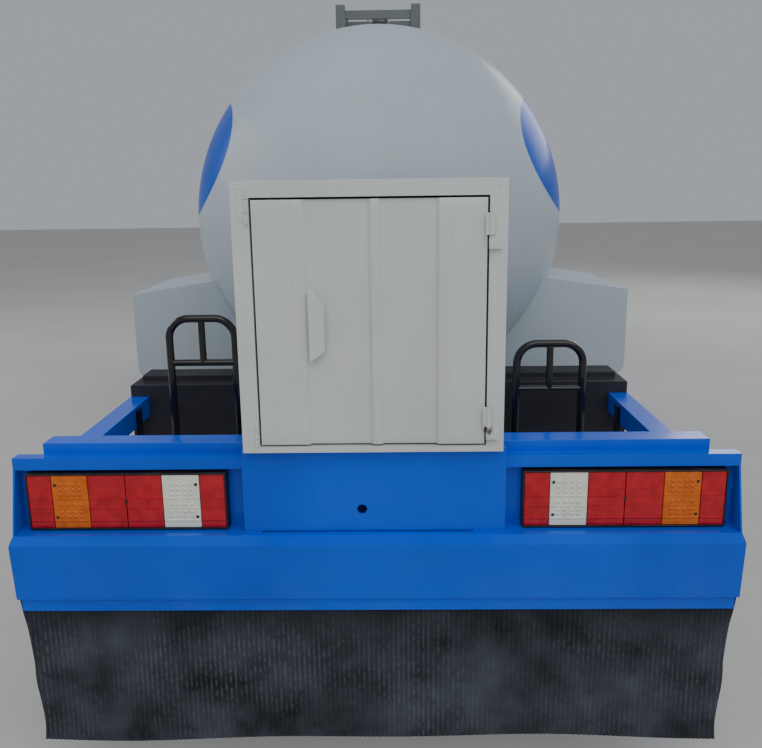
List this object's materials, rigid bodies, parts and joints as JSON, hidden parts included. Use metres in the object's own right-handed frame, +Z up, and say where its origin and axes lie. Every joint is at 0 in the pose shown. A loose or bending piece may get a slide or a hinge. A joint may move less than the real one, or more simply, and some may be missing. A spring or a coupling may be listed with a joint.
{
  "type": "gas delivery tanker truck",
  "caption": "Cab-over tanker truck with a round-ended pressure tank, twin rear wheels, rear valve cabinet, lamp apron, tilting cab and opening doors.",
  "frame": {"origin": "on the ground, at the middle of the vehicle's length and width", "axes": "+Y forwards, +X to the vehicle's right, +Z up"},
  "size_m": [2.46, 7.6, 2.76],
  "materials": {
    "frame_paint": "satin black chassis paint, dusty",
    "blue_paint": "gloss blue coachwork paint, lightly weathered",
    "cab_paint": "gloss blue coachwork paint",
    "lamp_plastic": "clear red, amber and white lamp lenses in a black housing",
    "flap_rubber": "ribbed black rubber with grey dust",
    "black_paint": "gloss black tube and box paint",
    "cabinet_paint": "grey cream cabinet paint, gloss, scuffed at the edges",
    "valve_steel": "cast and machined steel fittings",
    "tank_paint": "gloss white tank paint with a blue side stripe",
    "grey_paint": "mid grey paint, chipped",
    "black_plastic": "grained black plastic",
    "fuel_aluminium": "brushed aluminium sheet",
    "exhaust_iron": "heat-browned steel",
    "axle_iron": "black painted casting, dusty",
    "lamp_glass": "clear lens over a bright reflector",
    "window_glass": "lightly tinted laminated glass",
    "dash_plastic": "grained dark grey moulding",
    "seat_fabric": "dark grey woven seat cloth",
    "wheel_tyre": "black tyre on a grey steel rim"
  },
  "bodies": {
    "chassis": {"frame_rails": "frame_paint", "frame_fittings": "frame_paint", "rear_apron": "blue_paint", "tail_lamps": "lamp_plastic", "mud_flap": "flap_rubber", "deck_frame": "blue_paint", "cross_box": "black_paint", "guard_hoops": "black_paint", "rear_cabinet": "cabinet_paint", "cabinet_valves": "valve_steel", "side_fairings": "tank_paint", "tank": "tank_paint", "tank_saddles": "frame_paint", "valve_guard": "grey_paint", "top_valves": "valve_steel", "rear_mudguards": "black_plastic", "side_guards": "cabinet_paint", "fuel_tank": "fuel_aluminium", "air_tanks": "black_paint", "battery_box": "black_plastic", "exhaust": "exhaust_iron", "drive_shaft": "frame_paint", "rear_axle": "axle_iron", "leaf_springs": "axle_iron", "front_axle": "axle_iron", "engine_block": "axle_iron", "front_bumper": "blue_paint", "headlamps": "lamp_glass", "front_mudguards": "black_plastic"},
    "cab": {"cab_shell": "cab_paint", "cab_glass": "window_glass", "dashboard": "dash_plastic", "seats": "seat_fabric"},
    "steering_wheel": {"steering_wheel": "dash_plastic"},
    "cab_door_left": {"cab_door_left": "cab_paint", "door_glass_left": "window_glass"},
    "cab_door_right": {"cab_door_right": "cab_paint", "door_glass_right": "window_glass"},
    "knuckle_left": {"knuckle_left": "axle_iron"},
    "knuckle_right": {"knuckle_right": "axle_iron"},
    "tie_rod": {"tie_rod": "axle_iron"},
    "front_wheel_left": {"front_wheel_left": "wheel_tyre"},
    "front_wheel_right": {"front_wheel_right": "wheel_tyre"},
    "rear_wheels_left": {"rear_wheels_left": "wheel_tyre"},
    "rear_wheels_right": {"rear_wheels_right": "wheel_tyre"},
    "cabinet_door": {"cabinet_door": "cabinet_paint"}
  },
  "joints": [
    {"name": "steer", "type": "hinge", "parent": "chassis", "child": "knuckle_left", "pos_m": [-0.74, 2.5, 0.4], "axis": [0, 0, 1], "range_deg": [-32, 32]},
    {"name": "steer_right", "type": "hinge", "parent": "chassis", "child": "knuckle_right", "pos_m": [0.74, 2.5, 0.4], "axis": [0, 0, 1], "range_deg": [-32, 32]},
    {"name": "tie_rod_pivot", "type": "hinge", "parent": "knuckle_left", "child": "tie_rod", "pos_m": [-0.74, 2.32, 0.31], "axis": [0, 0, 1], "range_deg": [-32, 32]},
    {"name": "steering_wheel_turn", "type": "hinge", "parent": "cab", "child": "steering_wheel", "pos_m": [-0.45, 3.1, 1.68], "axis": [0, -0.4695, 0.8829], "range_deg": [-544, 544]},
    {"name": "front_wheel_left_spin", "type": "hinge", "parent": "knuckle_left", "child": "front_wheel_left", "pos_m": [-0.885, 2.5, 0.4], "axis": [1, 0, 0], "continuous": true},
    {"name": "front_wheel_right_spin", "type": "hinge", "parent": "knuckle_right", "child": "front_wheel_right", "pos_m": [0.885, 2.5, 0.4], "axis": [1, 0, 0], "continuous": true},
    {"name": "rear_wheels_left_spin", "type": "hinge", "parent": "chassis", "child": "rear_wheels_left", "pos_m": [-0.9775, -1.45, 0.4], "axis": [1, 0, 0], "continuous": true},
    {"name": "rear_wheels_right_spin", "type": "hinge", "parent": "chassis", "child": "rear_wheels_right", "pos_m": [0.9775, -1.45, 0.4], "axis": [1, 0, 0], "continuous": true},
    {"name": "cab_tilt", "type": "hinge", "parent": "chassis", "child": "cab", "pos_m": [0, 3.7, 0.79], "axis": [-1, 0, 0], "range_deg": [0, 45]},
    {"name": "cab_door_left_swing", "type": "hinge", "parent": "cab", "child": "cab_door_left", "pos_m": [-1.035, 3.47, 1.4], "axis": [0, 0, -1], "range_deg": [0, 70]},
    {"name": "cab_door_right_swing", "type": "hinge", "parent": "cab", "child": "cab_door_right", "pos_m": [1.035, 3.47, 1.4], "axis": [0, 0, 1], "range_deg": [0, 70]},
    {"name": "cabinet_door_swing", "type": "hinge", "parent": "chassis", "child": "cabinet_door", "pos_m": [0.335, -3.79, 1.5], "axis": [0, 0, 1], "range_deg": [0, 120]}
  ],
  "couplings": [
    {"joint": "steer_right", "follows": "steer", "ratio": 1},
    {"joint": "tie_rod_pivot", "follows": "steer", "ratio": -1},
    {"joint": "steering_wheel_turn", "follows": "steer", "ratio": 17}
  ]
}
